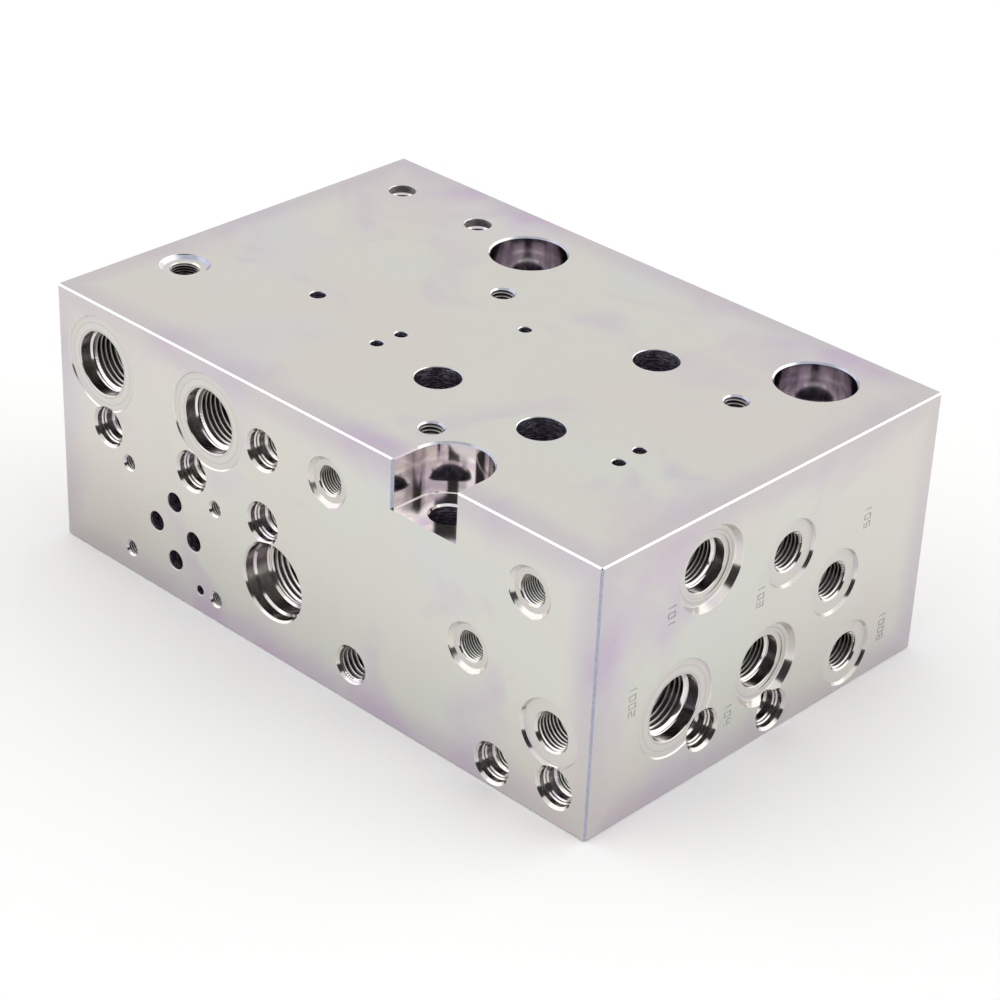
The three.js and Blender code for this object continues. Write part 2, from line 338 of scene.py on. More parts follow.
PAD_ACROSS, PAD_DOWN = 32.8, 50.3  # first screw of the ISO 4401-03 pad
PAD_OIL = 6.5
PAD = [
    (M5, 0, 0), (M5, 40.5, -0.75), (M5, 40.5, 31.75), (M5, 0, 31),
    (plain_hole(PAD_OIL, 27), 21.5, 5.1), (plain_hole(PAD_OIL, 57), 12.7, 15.5),
    (plain_hole(PAD_OIL, 47), 30.2, 15.5), (plain_hole(PAD_OIL, 19), 21.5, 25.9),
    (plain_hole(3.2, 6), 33, 31.75),
]

OIL_DIAMETER = 14.3
GUIDE_BORE = {"steps": [(4.65, 0), (4.5, 0.15), (4.5, 2.7), (3.9, 3.3), (3.9, 22)]}

DRILLINGS = {
    "front": [
        (port_g12(14, 50), 20.5, 20.4),
        (port_g12(14, 50), 70.6, 20.4),
        (port_g18(6.8, 38), 123.2, 19.05),
        (port_g18(6.8, 48), 204.3, 19.1),
        (port_g18(6.8, 106), 181.85, 47.9),
        (port_g14(8, 27), 214.2, 60.95),
        (plug_recess(43), 95.05, 20.2),
        (plug_recess(57), 22.85, 41.5),
        (plug_recess(47), 62.6, 40.95),
        (plug_recess(58), 95.05, 45),
        (plug_recess(81), 193, 82),
        (plug_recess(50), 217.2, 77.8),
        (CAVITY, 99.4, 63.9),
        (M12, 134.05, 76.8),
        *[(hole, PAD_ACROSS + right, PAD_DOWN + below) for hole, right, below in PAD],
    ],
    "right": [
        (port_g38(10, 68), 46.8, 19.3),
        (port_g38(10, 98), 76.2, 64.1),
        (port_g14(9, 112), 83.1, 28.85),
        (port_g14(9, 68), 106.1, 48.2),
        (port_g14(8, 102), 115.8, 77.25),
        (port_g12(14, 62), 35.7, 61),
        (plug_recess(66), 48.8, 74.3),
        (plug_recess(50), 80.8, 82),
    ],
    "top": [
        (plain_hole(OIL_DIAMETER, 50), 159.25, 48.6),
        (plain_hole(OIL_DIAMETER, 24), 123.55, 105.8),
        (plain_hole(OIL_DIAMETER, 74), 165.7, 105.8),
        (M8, 96.75, 50.55),
        (M8, 192.35, 50.55),
        (M8, 144.35, 128.9),
        (plain_hole(4, 28), 118.75, 63.5),
        (plain_hole(4, 45), 95.95, 94.25),
        (plain_hole(4, 16), 95.35, 103.85),
        (plain_hole(4, 12), 193.25, 94.25),
        (plain_hole(4, 16), 193.95, 103.8),
        (plain_hole(5, 12), 59.25, 94.65),
        (GUIDE_BORE, 19.6, 19.6),
        (GUIDE_BORE, 55.2, 19.7),
        (port_g18(6, 20), 15.9, 111.7),
    ],
    "back": [(port_g12(14, 67), 99.4, 63.9)],
}

# Counterbored holes for the three bolts that hold the block down. The third opens into the front.
COUNTERBORE_RADIUS = 12.5
COUNTERBORE_DEPTH = 16.5
COUNTERBORE_CHAMFER = 0.55
CORNER_FILLET = 0.4
BOLT_RADIUS = 5.5
BOLT_CHAMFER = 0.6
BOLT_HOLE_ACROSS, BOLT_HOLE_DOWN, BOLT_HOLE_SPACING = 81.55, 23.1, 118.6
NOTCH_ACROSS, NOTCH_DOWN = 162.7, 139.65
BOLT_HOLES = [
    (BOLT_HOLE_ACROSS, BOLT_HOLE_DOWN),
    (BOLT_HOLE_ACROSS + BOLT_HOLE_SPACING, BOLT_HOLE_DOWN),
    (NOTCH_ACROSS, NOTCH_DOWN),
]
FILLETED_CORNER = [
    (COUNTERBORE_RADIUS, COUNTERBORE_DEPTH - CORNER_FILLET),
    (COUNTERBORE_RADIUS - 0.3 * CORNER_FILLET, COUNTERBORE_DEPTH - 0.3 * CORNER_FILLET),
    (COUNTERBORE_RADIUS - CORNER_FILLET, COUNTERBORE_DEPTH),
]
COUNTERBORE = {
    "steps": [
        (COUNTERBORE_RADIUS + COUNTERBORE_CHAMFER, 0),
        (COUNTERBORE_RADIUS, COUNTERBORE_CHAMFER),
        *FILLETED_CORNER,
        (BOLT_RADIUS + BOLT_CHAMFER, COUNTERBORE_DEPTH),
        (BOLT_RADIUS, COUNTERBORE_DEPTH + BOLT_CHAMFER),
        (BOLT_RADIUS, HEIGHT + TOOL_REACH),
    ],
    "through": True,
}
DRILLINGS["top"] += [(COUNTERBORE, across, down) for across, down in BOLT_HOLES]

# Galleries drilled from the hidden faces: face, across, down, radius, depth. Expander plugs close them.
SEAT_STEP = 0.8  # how much wider than its gallery a plug's seat is, on the radius
PLUG_RECESS = 1.0  # how far a plug's rim lies below the face
FIT_GAP = 0.3  # between a plug and its seat
SEAT_CHAMFER = 0.3
GALLERIES = [
    ("left", 44.2, 20.4, 5.5, 119),
    ("left", 27, 55.4, 4.5, 89),
    ("left", 19, 76.2, 4.5, 92),
    ("left", 55, 41.5, 4, 48),
    ("back", 130, 72, 4.5, 72),
    ("bottom", 62.8, 105, 3.4, 50),
    ("bottom", 45.5, 95, 3.4, 50),
    ("bottom", 181, 71.5, 3.4, 27),
]


def plug_length(radius):
    return 2 * radius + 1


def gallery(radius, depth):
    seat = radius + SEAT_STEP
    seat_depth = PLUG_RECESS + plug_length(radius) + FIT_GAP
    shoulder = seat_depth + SEAT_STEP * DRILL_TIP
    mouth = [(seat + SEAT_CHAMFER, 0), (seat, SEAT_CHAMFER)]
    return {"steps": [*mouth, (seat, seat_depth), (radius, shoulder), (radius, depth)]}


for face, across, down, radius, depth in GALLERIES:
    DRILLINGS.setdefault(face, []).append((gallery(radius, depth), across, down))


CORE_OVERLAP = 0.4  # how far a core's cutter reaches into the thread


def cutters_of(hole):
    """The solids that cut one hole, along +Z: the smooth ones, and the screw-shaped ones."""
    if "thread" not in hole:
        return [drilling(hole["steps"], pointed="through" not in hole)], []
    minor, major, pitch, start, end = hole["thread"]
    radius, depth = hole["core"]
    core = [(radius, end - CORE_OVERLAP), (radius, depth), (TIP_RADIUS, depth + radius * DRILL_TIP)]
    smooth = [drilling(hole["steps"], pointed=False), turned(core, sides_for(radius))]
    return smooth, [thread_cutter(minor, major, pitch, start, end)]


def prism(outline, low, high):
    """A closed solid from a counter-clockwise outline of (x, y) points, between two heights."""
    count = len(outline)
    vertices = [(x, y, low) for x, y in outline] + [(x, y, high) for x, y in outline]
    sides = [(i, (i + 1) % count, (i + 1) % count + count, i + count) for i in range(count)]
    faces = [tuple(reversed(range(count))), tuple(range(count, 2 * count)), *sides]
    return Solid(vertices, faces)


STAMP_DEPTH = 0.25
STROKE = 0.42
DIGIT_WIDTH, DIGIT_HEIGHT, DIGIT_SPACING = 1.6, 2.7, 2.7
STROKES = {
    "top": ((0, 1), (1, 1)), "upper right": ((1, 0.5), (1, 1)), "lower right": ((1, 0), (1, 0.5)),
    "painted_foot_shade": ((0, 0), (1, 0)), "lower left": ((0, 0), (0, 0.5)), "upper left": ((0, 0.5), (0, 1)),
    "waist": ((0, 0.5), (1, 0.5)), "stem": ((0.5, 0), (0.5, 1)),
}
DIGITS = {
    "0": ["top", "upper right", "lower right", "painted_foot_shade", "lower left", "upper left"],
    "1": ["stem"],
    "2": ["top", "upper right", "waist", "lower left", "painted_foot_shade"],
    "3": ["top", "upper right", "waist", "lower right", "painted_foot_shade"],
    "4": ["upper left", "waist", "upper right", "lower right"],
    "5": ["top", "upper left", "waist", "lower right", "painted_foot_shade"],
    "6": ["top", "upper left", "waist", "lower right", "painted_foot_shade", "lower left"],
}
PORT_NUMBERS = [
    ("101", 29.3, 24), ("1002", 15, 45), ("103", 69, 34.5), ("104", 58.6, 70.5), ("105", 117.5, 27),
    ("1006", 131.5, 70),
]


def stroke_cutter(start, end):
    """A straight stroke with round ends, from one point to another."""
    start, end = np.array(start), np.array(end)
    heading = math.atan2(*(end - start)[::-1])
    outline = []
    for centre, turn in ((end, -math.pi / 2), (start, math.pi / 2)):
        for step in range(7):
            angle = heading + turn + step * math.pi / 6
            outline.append(tuple(centre + STROKE / 2 * np.array((math.cos(angle), math.sin(angle)))))
    return prism(outline, -TOOL_REACH, STAMP_DEPTH)


def stamped_numbers():
    """Numbers punched beside the ports of the right face, which read downwards."""
    solids = []
    reads_down = Matrix(((0, 1, 0), (1, 0, 0), (0, 0, 1))).to_4x4()
    for digits, across, down in PORT_NUMBERS:
        place = placed_on("right", across, down) @ reads_down
        for number, digit in enumerate(digits):
            left = number * DIGIT_SPACING
            for name in DIGITS[digit]:
                ends = [(left + x * DIGIT_WIDTH, y * DIGIT_HEIGHT) for x, y in STROKES[name]]
                solids.append(stroke_cutter(*ends).moved(place))
    return solids


NOTCH_CHAMFER = 0.75


def notch_cutters():
    """The slot that carries the third counterbore on to the front face, and its mouth's chamfers."""
    at = face_point("top", NOTCH_ACROSS, NOTCH_DOWN)
    reach = WIDTH - NOTCH_DOWN + TOOL_REACH
    radius, depth, chamfer = COUNTERBORE_RADIUS, COUNTERBORE_DEPTH, COUNTERBORE_CHAMFER
    right_half = [
        *[(x, -y) for x, y in reversed(FILLETED_CORNER)], (radius, -chamfer),
        (radius + chamfer + TOOL_REACH, TOOL_REACH),
    ]
    section = right_half + [(-x, y) for x, y in reversed(right_half)]
    lay_down = Matrix(((1, 0, 0), (0, 0, -1), (0, 1, 0))).to_4x4()
    slot = prism(section, 0, reach).moved(Matrix.Translation(at) @ lay_down)
    front = -WIDTH / 2
    wide = radius + NOTCH_CHAMFER
    mouth = [
        (-wide - TOOL_REACH, front - TOOL_REACH), (wide + TOOL_REACH, front - TOOL_REACH),
        (radius, front + NOTCH_CHAMFER), (-radius, front + NOTCH_CHAMFER),
    ]
    floor = HEIGHT - depth
    chamfers = prism([(x + at.x, y) for x, y in mouth], floor, HEIGHT + TOOL_REACH)
    return [slot, chamfers]


# ---------------------------------------------------------------- the block's mesh


def object_of(name, solid):
    mesh = bpy.data.meshes.new(name)
    mesh.from_pydata(solid.vertices.tolist(), [], solid.faces)
    mesh.update()
    made = bpy.data.objects.new(name, mesh)
    bpy.context.scene.collection.objects.link(made)
    return made


CLEARANCE = 0.05  # between the boxes of solids that one cut takes together


def joined_apart(solids):
    """Joins solids whose boxes stay clear of each other, so that fewer cuts are made."""
    groups = []
    for solid in solids:
        low, high = solid.box()
        for group in groups:
            if all((high < least).any() or (low > most).any() for least, most in group["boxes"]):
                break
        else:
            group = {"boxes": [], "vertices": [], "faces": [], "count": 0}
            groups.append(group)
        group["boxes"].append((low - CLEARANCE, high + CLEARANCE))
        group["vertices"].append(solid.vertices)
        group["faces"] += [tuple(i + group["count"] for i in face) for face in solid.faces]
        group["count"] += len(solid.vertices)
    return [Solid(np.concatenate(group["vertices"]), group["faces"]) for group in groups]


def chamfered_block():
    """The block with its edges broken, a little more at its four upright edges."""
    small, wide = EDGE_CHAMFER, UPRIGHT_CHAMFER
    made = bmesh.new()
    for x in (-1, 1):
        for y in (-1, 1):
            for z in (0, 1):
                at = np.array((x * LENGTH / 2, y * WIDTH / 2, z * HEIGHT))
                towards = np.array((-x, -y, 1 - 2 * z))
                for inset in ((0, wide, small), (wide, 0, small), (small, small, 0)):
                    made.verts.new(at + towards * inset)
    bmesh.ops.convex_hull(made, input=made.verts)
    bmesh.ops.dissolve_limit(made, angle_limit=0.001, verts=made.verts, edges=made.edges)
    return solid_from(made)


def cut(block, solids):
    """Subtracts the solids from the block object, in order."""
    cutters = [object_of("cutter", solid) for solid in solids]
    for cutter in cutters:
        change = block.modifiers.new("cut", "BOOLEAN")
        change.operation = "DIFFERENCE"
        change.solver = "MANIFOLD"
        change.object = cutter
    depsgraph = bpy.context.evaluated_depsgraph_get()
    mesh = bpy.data.meshes.new_from_object(block.evaluated_get(depsgraph), depsgraph=depsgraph)
    block.modifiers.clear()
    block.data = mesh
    for cutter in cutters:
        bpy.data.objects.remove(cutter)


def machined_block():
    plain, threads = [], []
    for face, holes in DRILLINGS.items():
        for hole, across, down in holes:
            place = placed_on(face, across, down)
            turned_ones, threaded_ones = cutters_of(hole)
            plain += [solid.moved(place) for solid in turned_ones]
            threads += [solid.moved(place) for solid in threaded_ones]
    block = object_of("manifold_block_machined", chamfered_block())
    cut(block, joined_apart(plain + notch_cutters() + stamped_numbers()))
    cut(block, joined_apart(threads))
    return block


# ---------------------------------------------------------------- what each face of the block is

PLATED, EDGE, TURNED_FLOOR, TURNED_WALL, POLISHED, BORED, REAMED = range(7)
CREST, FLANK, PAINTED_SHADE_FLANK, DRILLED = range(7, 11)
FLAT_TOLERANCE = 0.004  # how far off a side of the block its own faces may lie
FACE_TOLERANCE = 0.01
SIDE_SQUARE = 0.999  # how squarely the faces of a side look outwards, as a cosine
FLOOR_SQUARE = 0.98  # how squarely the floor of a hole looks along it
CHAMFER_SQUARE = (0.5, 0.9)  # how squarely a top chamfer looks up
EDGE_SQUARE = 0.8  # the most squarely that a broken edge looks along any axis
NEAR = 0.05  # how far before a thread or a core its faces may lie
LARGEST_GAP = 1.0  # past this from every hole's outline, a face belongs to no hole


def profile_of(hole):
    """A hole's outline as (radius, depth) points, and where its thread and its core begin."""
    if "thread" not in hole:
        radius, depth = hole["steps"][-1]
        return [*hole["steps"], (0, depth + radius * DRILL_TIP)], math.inf, math.inf
    minor, major, _, _, end = hole["thread"]
    middle = (minor + major) / 4
    radius, depth = hole["core"]
    mouth_end = hole["steps"][-1][1]
    points = [*hole["steps"], (middle, mouth_end), (middle, end), (radius, end), (radius, depth)]
    return [*points, (0, depth + radius * DRILL_TIP)], hole["steps"][-2][1], end


def distance_to_outline(radius, depth, points):
    """How far (radius, depth) places lie from a line through points."""
    best = np.full(len(radius), math.inf)
    here = np.stack([radius, depth], 1)
    for start, end in zip(points, points[1:]):
        start, end = np.array(start, float), np.array(end, float)
        along = end - start
        square = max(along @ along, 1e-12)
        share = np.clip((here - start) @ along / square, 0, 1)
        gap = np.linalg.norm(here - start - share[:, None] * along, axis=1)
        best = np.minimum(best, gap)
    return best


def bore_kinds(hole, down, radius, depth, thread_at, core_at, facing, upwards):
    """The kind of each face if it belonged to a hole.

    facing is how squarely a face looks along the hole. upwards is how squarely it looks up or down,
    and is None for a hole that isn't on the top face.
    """
    kinds = np.where(facing > FLOOR_SQUARE, TURNED_FLOOR, TURNED_WALL)
    kinds[depth > thread_at - NEAR] = FLANK
    if "thread" in hole:
        least, most = hole["thread"][0] / 2, hole["thread"][1] / 2
        rise = (radius - least) / (most - least)
        in_thread = kinds == FLANK
        kinds[in_thread & (rise < PAINTED_HIGHLIGHT_CREST_SHARE)] = CREST
        # painted shade: the grooves past that share get a near-black colour
        kinds[in_thread & (rise > hole.get("painted_shade_past", math.inf))] = PAINTED_SHADE_FLANK
    kinds[depth > core_at - NEAR] = DRILLED
    if hole is COUNTERBORE:
        # the closed counterbores get a darker, bluer copy of the polished steel, as painted shade
        kinds[:] = POLISHED if down == NOTCH_DOWN else BORED
        kinds[depth > COUNTERBORE_DEPTH + BOLT_CHAMFER] = DRILLED
    elif hole is GUIDE_BORE:
        kinds[:] = POLISHED
        kinds[depth > hole["steps"][-2][1] + 2 * NEAR] = DRILLED
        kinds[depth < hole["steps"][-3][1] - NEAR] = REAMED
    elif "thread" not in hole:
        kinds = np.where(depth > DEBURR, DRILLED, TURNED_FLOOR)
    if upwards is not None:
        mouth_end = COUNTERBORE_CHAMFER + FACE_TOLERANCE
        slanted = (upwards > CHAMFER_SQUARE[0]) & (upwards < CHAMFER_SQUARE[1])
        kinds[(depth < mouth_end) & slanted] = EDGE
        if "thread" in hole:
            kinds[(kinds == TURNED_WALL) & (depth < hole["steps"][2][1] - NEAR)] = EDGE
    return kinds


def sort_faces(mesh):
    """Gives each face a material number, and the axis that it was turned about as two attributes."""
    count = len(mesh.polygons)
    centres, normals = np.empty(count * 3), np.empty(count * 3)
    mesh.polygons.foreach_get("center", centres)
    mesh.polygons.foreach_get("normal", normals)
    centres, normals = centres.reshape(-1, 3), normals.reshape(-1, 3)
    half = np.array([LENGTH / 2, WIDTH / 2, HEIGHT / 2])
    to_side = half - np.abs(centres - [0, 0, HEIGHT / 2])
    on_side = (to_side < FLAT_TOLERANCE) & (np.abs(normals) > SIDE_SQUARE)
    second_side = np.sort(to_side, 1)[:, 1]
    slanted = np.abs(normals).max(1) < EDGE_SQUARE
    near_edge = (second_side < UPRIGHT_CHAMFER + FACE_TOLERANCE) & slanted
    kind = np.full(count, DRILLED)
    best = np.full(count, LARGEST_GAP)
    origin, axis = np.zeros((count, 3)), np.tile([0.0, 0.0, 1.0], (count, 1))
    for face, holes in DRILLINGS.items():
        inward = np.array(INWARD[face])
        facing = np.abs(normals @ inward)
        upwards = np.abs(normals[:, 2]) if face == "top" else None
        for hole, across, down in holes:
            at = np.array(face_point(face, across, down))
            depth = (centres - at) @ inward
            radius = np.linalg.norm(centres - at - depth[:, None] * inward, axis=1)
            outline, thread_at, core_at = profile_of(hole)
            gap = distance_to_outline(radius, depth, outline)
            mine = gap < best
            best[mine] = gap[mine]
            origin[mine], axis[mine] = at, inward
            kinds = bore_kinds(hole, down, radius, depth, thread_at, core_at, facing, upwards)
            kind[mine] = kinds[mine]
    notch_at = np.array(face_point("top", NOTCH_ACROSS, NOTCH_DOWN))
    in_notch = (
        (np.abs(centres[:, 0] - notch_at[0]) < COUNTERBORE_RADIUS + COUNTERBORE_CHAMFER)
        & (centres[:, 1] < notch_at[1])
        & (centres[:, 2] > HEIGHT - COUNTERBORE_DEPTH - FACE_TOLERANCE)
    )
    kind[in_notch] = POLISHED
    origin[in_notch], axis[in_notch] = notch_at, INWARD["top"]
    mouth = in_notch & (np.abs(normals[:, :2]).min(1) > CHAMFER_SQUARE[0])
    mouth &= centres[:, 1] < NOTCH_CHAMFER - WIDTH / 2
    kind[(near_edge & ~in_notch & (best > 2 * FACE_TOLERANCE)) | mouth] = EDGE
    stamped = (to_side.min(1) < STAMP_DEPTH + FACE_TOLERANCE) & (best > LARGEST_GAP / 2) & ~near_edge
    kind[on_side.any(1) | stamped] = PLATED
    mesh.polygons.foreach_set("material_index", kind.astype(np.int32))
    for name, values in (("bore_origin", origin * MM), ("bore_axis", axis)):
        attribute = mesh.attributes.new(name, "FLOAT_VECTOR", "FACE")
        attribute.data.foreach_set("vector", values.astype(np.float32).ravel())


SMOOTH_BELOW = math.radians(15)


def mark_sharp_edges(mesh):
    """Smooth shading everywhere but across edges that turn by more than a small angle."""
    made = bmesh.new()
    made.from_mesh(mesh)
    for edge in made.edges:
        edge.smooth = edge.calc_face_angle(0) < SMOOTH_BELOW
    for face in made.faces:
        face.smooth = True
    made.to_mesh(mesh)
    made.free()


# ---------------------------------------------------------------- materials


class Nodes:
    """Short calls for the nodes of one material or world."""

    def __init__(self, tree):
        self.tree = tree

    def add(self, kind, **settings):
        node = self.tree.nodes.new(kind)
        for name, value in settings.items():
            setattr(node, name, value)
        return node

    def put(self, socket, value):
        if isinstance(value, bpy.types.NodeSocket):
            self.tree.links.new(value, socket)
        elif value is not None:
            socket.default_value = value

    def attribute(self, name):
        return self.add("ShaderNodeAttribute", attribute_name=name).outputs["Vector"]

    def normal(self):
        return self.add("ShaderNodeNewGeometry").outputs["Normal"]

    def split(self, vector):
        """The X, Y and Z of a vector."""
        node = self.add("ShaderNodeSeparateXYZ")
        self.put(node.inputs[0], vector)
        return node.outputs

    def math(self, operation, a, b=None, c=None, clamp=False):
        node = self.add("ShaderNodeMath", operation=operation, use_clamp=clamp)
        for socket, value in zip(node.inputs, (a, b, c)):
            self.put(socket, value)
        return node.outputs[0]

    def vector(self, operation, a, b=None, output=0):
        node = self.add("ShaderNodeVectorMath", operation=operation)
        self.put(node.inputs[0], a)
        self.put(node.inputs[1], b)
        return node.outputs[output]

    def noise(self, place, scale, detail=2.0, roughness=0.5, distortion=0.0, dimensions="3D"):
        node = self.add("ShaderNodeTexNoise", noise_dimensions=dimensions)
        self.put(node.inputs["W" if dimensions == "1D" else "Vector"], place)
        self.put(node.inputs["Scale"], scale)
        self.put(node.inputs["Detail"], detail)
        self.put(node.inputs["Roughness"], roughness)
        self.put(node.inputs["Distortion"], distortion)
        return node.outputs["Fac"]

    def spread(self, value, low, high, to_low=0.0, to_high=1.0, smooth=True):
        node = self.add("ShaderNodeMapRange", interpolation_type="SMOOTHSTEP" if smooth else "LINEAR")
        for name, number in (("Value", value), ("From Min", low), ("From Max", high)):
            self.put(node.inputs[name], number)
        self.put(node.inputs["To Min"], to_low)
        self.put(node.inputs["To Max"], to_high)
        return node.outputs["Result"]

    def mix(self, factor, a, b, blend="MIX"):
        node = self.add("ShaderNodeMix", data_type="RGBA", blend_type=blend)
        # the colour sockets share their names with the float and vector ones, so they go by number
        self.put(node.inputs[0], factor)
        self.put(node.inputs[6], (*a, 1) if isinstance(a, tuple) else a)
        self.put(node.inputs[7], (*b, 1) if isinstance(b, tuple) else b)
        return node.outputs[2]

    def bump(self, height, strength, distance):
        node = self.add("ShaderNodeBump")
        self.put(node.inputs["Height"], height)
        self.put(node.inputs["Strength"], strength)
        self.put(node.inputs["Distance"], distance)
        return node.outputs["Normal"]


def metal(name, roughness, metallic=1.0):
    """A material with a metal shader: the material, its nodes, the shader and object coordinates."""
    material = bpy.data.materials.new(name)
    material.use_nodes = True
    nodes = Nodes(material.node_tree)
    shader = material.node_tree.nodes["Principled BSDF"]
    shader.inputs["Metallic"].default_value = metallic
    shader.inputs["Roughness"].default_value = roughness
    place = nodes.add("ShaderNodeTexCoord").outputs["Object"]
    return material, nodes, shader, place


def bore_places(nodes, place):
    """Distance from the axis that a face was turned about, depth along it, and the axis, in metres."""
    axis = nodes.attribute("bore_axis")
    offset = nodes.vector("SUBTRACT", place, nodes.attribute("bore_origin"))
    depth = nodes.vector("DOT_PRODUCT", offset, axis, output="Value")
    radius = nodes.vector("LENGTH", nodes.vector("CROSS_PRODUCT", offset, axis), output="Value")
    return radius, depth, axis


def edge_nearness(nodes, place, reach):
    """1 at the block's edges, falling to 0 at a distance."""
    centred = nodes.vector("SUBTRACT", place, (0, 0, HEIGHT * MM / 2))
    outwards = nodes.vector("ABSOLUTE", centred)
    gap = nodes.vector("SUBTRACT", tuple(side * MM / 2 for side in (LENGTH, WIDTH, HEIGHT)), outwards)
    x, y, z = nodes.split(gap)
    # the middle one of the three gaps is the distance to the nearest edge of the face
    less, more = nodes.math("MINIMUM", x, y), nodes.math("MAXIMUM", x, y)
    middle = nodes.math("MAXIMUM", less, nodes.math("MINIMUM", more, z))
    return nodes.spread(middle, 0.0, reach, 1.0, 0.0)


CREAM = (0.690, 0.658, 0.603)
PALE_GREEN = (0.668, 0.676, 0.618)
LILAC = (0.595, 0.505, 0.615)
PALE_BLUE = (0.645, 0.645, 0.685)
SATIN = 0.42  # how metallic the dull plated and faced surfaces are
TOP_PAINTED_SHADE = 0.90  # painted shade: the top face, which the light falls on most, is darkened a little
EDGE_TINT_REACH = 0.018  # metres: how far the plating's lilac runs in from the edges


def plated_steel():
    material, nodes, shader, place = metal("plated_steel", 0.36, SATIN)
    broad = nodes.noise(place, 11, detail=2, distortion=0.8)
    cloudy = nodes.noise(nodes.vector("ADD", place, (0.7, 0.2, 0.4)), 24, detail=3, distortion=0.6)
    bluish = nodes.noise(nodes.vector("ADD", place, (0.1, 0.9, 0.3)), 16, detail=2, distortion=0.5)
    edge = edge_nearness(nodes, place, EDGE_TINT_REACH)
    lilac = nodes.math("MULTIPLY_ADD", edge, 0.62, nodes.spread(cloudy, 0.46, 0.74, -0.14, 0.60))
    lilac = nodes.math("MULTIPLY", lilac, nodes.spread(broad, 0.34, 0.60, 0.50, 1.15), clamp=True)
    colour = nodes.mix(nodes.spread(broad, 0.35, 0.65), CREAM, PALE_GREEN)
    colour = nodes.mix(nodes.spread(bluish, 0.56, 0.74, 0.0, 0.45), colour, PALE_BLUE)
    colour = nodes.mix(lilac, colour, LILAC)
    grain = nodes.noise(place, 2600, detail=2, roughness=0.7)
    grain_and_painted_shade = nodes.spread(grain, 0.3, 0.7, 0.975, 1.02, smooth=False)
    x, _, z = nodes.split(place)
    # painted shade near the floor: the block darkens towards its bottom, most at the left end
    painted_foot_shade = nodes.spread(z, 0.0, 0.05, 0.105, 0.0)
    painted_far_foot_shade = nodes.math("MULTIPLY", painted_foot_shade, nodes.spread(x, -0.11, 0.0, 1.3, 0.0))
    grain_and_painted_shade = nodes.math("SUBTRACT", grain_and_painted_shade, nodes.math("ADD", painted_foot_shade, painted_far_foot_shade))
    # painted shade: the top face is darkened a little
    painted_top_shade = nodes.spread(z, (HEIGHT - 0.4) * MM, (HEIGHT - 0.1) * MM, 1.0, TOP_PAINTED_SHADE)
    grain_and_painted_shade = nodes.math("MULTIPLY", grain_and_painted_shade, painted_top_shade)
    grain_and_painted_shade = nodes.math("MULTIPLY", grain_and_painted_shade, nodes.spread(edge, 0.35, 1.0, 1.0, 0.95))
    tint = nodes.add("ShaderNodeCombineColor")
    for socket in tint.inputs:
        nodes.put(socket, grain_and_painted_shade)
    nodes.put(shader.inputs["Base Color"], nodes.mix(1.0, colour, tint.outputs[0], "MULTIPLY"))
    nodes.put(shader.inputs["Roughness"], nodes.spread(cloudy, 0.3, 0.7, 0.33, 0.40))
    nodes.put(shader.inputs["Normal"], nodes.bump(grain, 0.12, 0.00002))
    return material


def edge_steel():
    """Filed edges: bright, with a painted dark blue-grey reflection along the upright edges and on the
    back of a bore's mouth.
    """
    material, nodes, shader, place = metal("edge_steel", 0.20)
    marks = nodes.noise(place, 900, detail=2)
    _, y, z = nodes.split(nodes.normal())
    # painted reflection: blue-grey where an edge stands upright, and at the back of a top bore's mouth
    upright = nodes.spread(nodes.math("ABSOLUTE", z), 0.2, 0.5, 1.0, 0.0)
    bored = nodes.vector("DOT_PRODUCT", nodes.attribute("bore_axis"), (0, 0, -1), output="Value")
    painted_reflection_behind = nodes.math("MULTIPLY", nodes.spread(y, -0.40, -0.10, 1.0, 0.0), bored)
    upright = nodes.math("MAXIMUM", upright, painted_reflection_behind, clamp=True)
    bright = nodes.mix(nodes.spread(marks, 0.3, 0.7), (0.86, 0.87, 0.90), (0.93, 0.93, 0.93))
    bluish = nodes.mix(nodes.spread(marks, 0.3, 0.7), (0.35, 0.37, 0.45), (0.42, 0.43, 0.52))
    nodes.put(shader.inputs["Base Color"], nodes.mix(upright, bright, bluish))
    nodes.put(shader.inputs["Normal"], nodes.bump(marks, 0.08, 0.00002))
    return material


